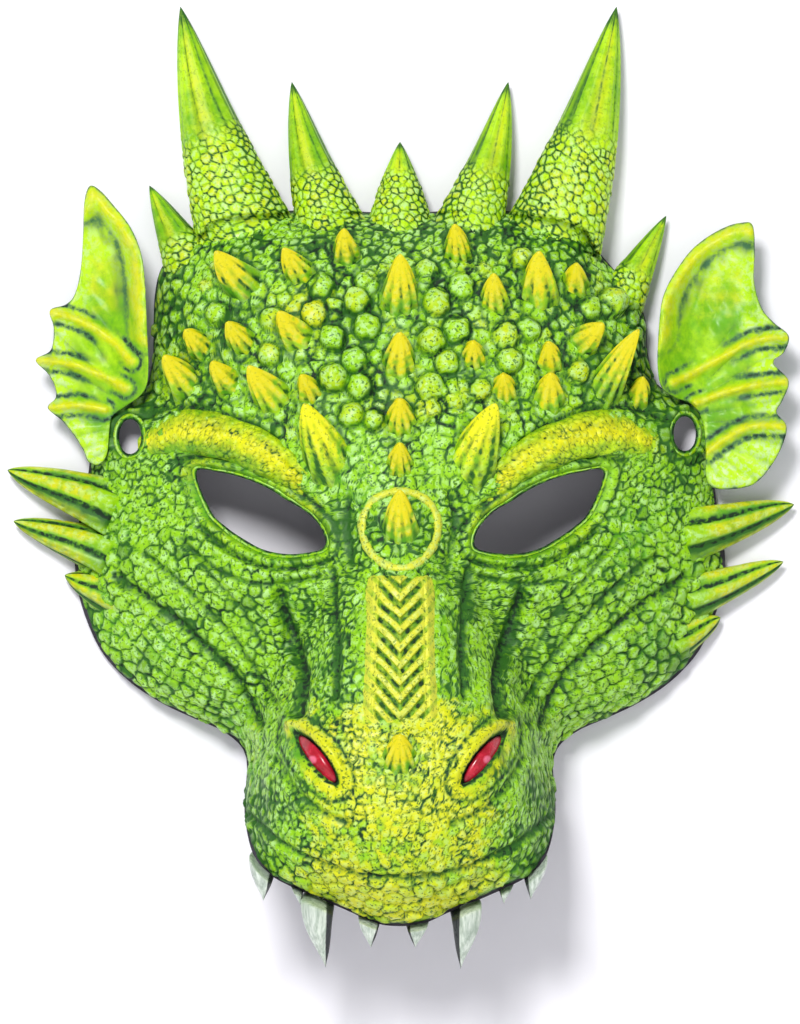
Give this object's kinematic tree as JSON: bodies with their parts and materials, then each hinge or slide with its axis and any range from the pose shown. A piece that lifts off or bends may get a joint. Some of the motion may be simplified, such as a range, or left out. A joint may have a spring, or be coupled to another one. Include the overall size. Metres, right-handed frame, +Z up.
{
  "type": "dragon face mask",
  "caption": "Moulded foam dragon face mask with crown horns, ear fins, brow ridges, ribbed nose, teeth, eye holes and side holes for a head elastic.",
  "frame": {"origin": "point midway between the eye holes, on the plane of the rear rim that meets the wearer's head", "axes": "+Z up, face looks along -Y, +X to the wearer's left; upright as worn"},
  "size_m": [0.2618, 0.0933, 0.3187],
  "materials": {
    "painted_foam_lime": "lime green paint over soft foam, dark green wash in the grooves",
    "painted_foam_horn": "lime to yellow paint over soft foam, dark tips",
    "painted_foam_fin": "green and grey-teal paint over soft foam, yellow ribs",
    "painted_foam_yellow": "yellow paint over soft foam",
    "painted_foam_tooth": "pale grey-white paint over soft foam",
    "painted_foam_crimson": "crimson paint over soft foam"
  },
  "bodies": {
    "root": {"bridge_ring": "painted_foam_yellow", "bridge_spike": "painted_foam_yellow", "brow_horn_left": "painted_foam_yellow", "brow_horn_right": "painted_foam_yellow", "brow_ridge_left": "painted_foam_yellow", "brow_ridge_right": "painted_foam_yellow", "cheek_spike_lower_left": "painted_foam_yellow", "cheek_spike_lower_right": "painted_foam_yellow", "cheek_spike_middle_left": "painted_foam_yellow", "cheek_spike_middle_right": "painted_foam_yellow", "cheek_spike_upper_left": "painted_foam_yellow", "cheek_spike_upper_right": "painted_foam_yellow", "crown_thorn_1": "painted_foam_yellow", "crown_thorn_2": "painted_foam_yellow", "crown_thorn_3": "painted_foam_yellow", "crown_thorn_4": "painted_foam_yellow", "ear_left": "painted_foam_fin", "ear_right": "painted_foam_fin", "face_shell": "painted_foam_lime", "fang_left": "painted_foam_tooth", "fang_right": "painted_foam_tooth", "horn_big_left": "painted_foam_horn", "horn_big_right": "painted_foam_horn", "horn_centre": "painted_foam_horn", "horn_mid_left": "painted_foam_horn", "horn_mid_right": "painted_foam_horn", "horn_small_left": "painted_foam_horn", "horn_small_right": "painted_foam_horn", "nose_ridge": "painted_foam_yellow", "nose_tip_spike": "painted_foam_yellow", "nostril_left": "painted_foam_crimson", "nostril_right": "painted_foam_crimson", "thorn_left_01": "painted_foam_yellow", "thorn_left_02": "painted_foam_yellow", "thorn_left_03": "painted_foam_yellow", "thorn_left_04": "painted_foam_yellow", "thorn_left_05": "painted_foam_yellow", "thorn_left_06": "painted_foam_yellow", "thorn_left_07": "painted_foam_yellow", "thorn_left_08": "painted_foam_yellow", "thorn_left_09": "painted_foam_yellow", "thorn_left_10": "painted_foam_yellow", "thorn_left_11": "painted_foam_yellow", "thorn_right_01": "painted_foam_yellow", "thorn_right_02": "painted_foam_yellow", "thorn_right_03": "painted_foam_yellow", "thorn_right_04": "painted_foam_yellow", "thorn_right_05": "painted_foam_yellow", "thorn_right_06": "painted_foam_yellow", "thorn_right_07": "painted_foam_yellow", "thorn_right_08": "painted_foam_yellow", "thorn_right_09": "painted_foam_yellow", "thorn_right_10": "painted_foam_yellow", "tooth_front_left": "painted_foam_tooth", "tooth_front_right": "painted_foam_tooth", "tooth_outer_left": "painted_foam_tooth", "tooth_outer_right": "painted_foam_tooth", "tooth_side_left": "painted_foam_tooth", "tooth_side_right": "painted_foam_tooth"}
  },
  "joints": []
}
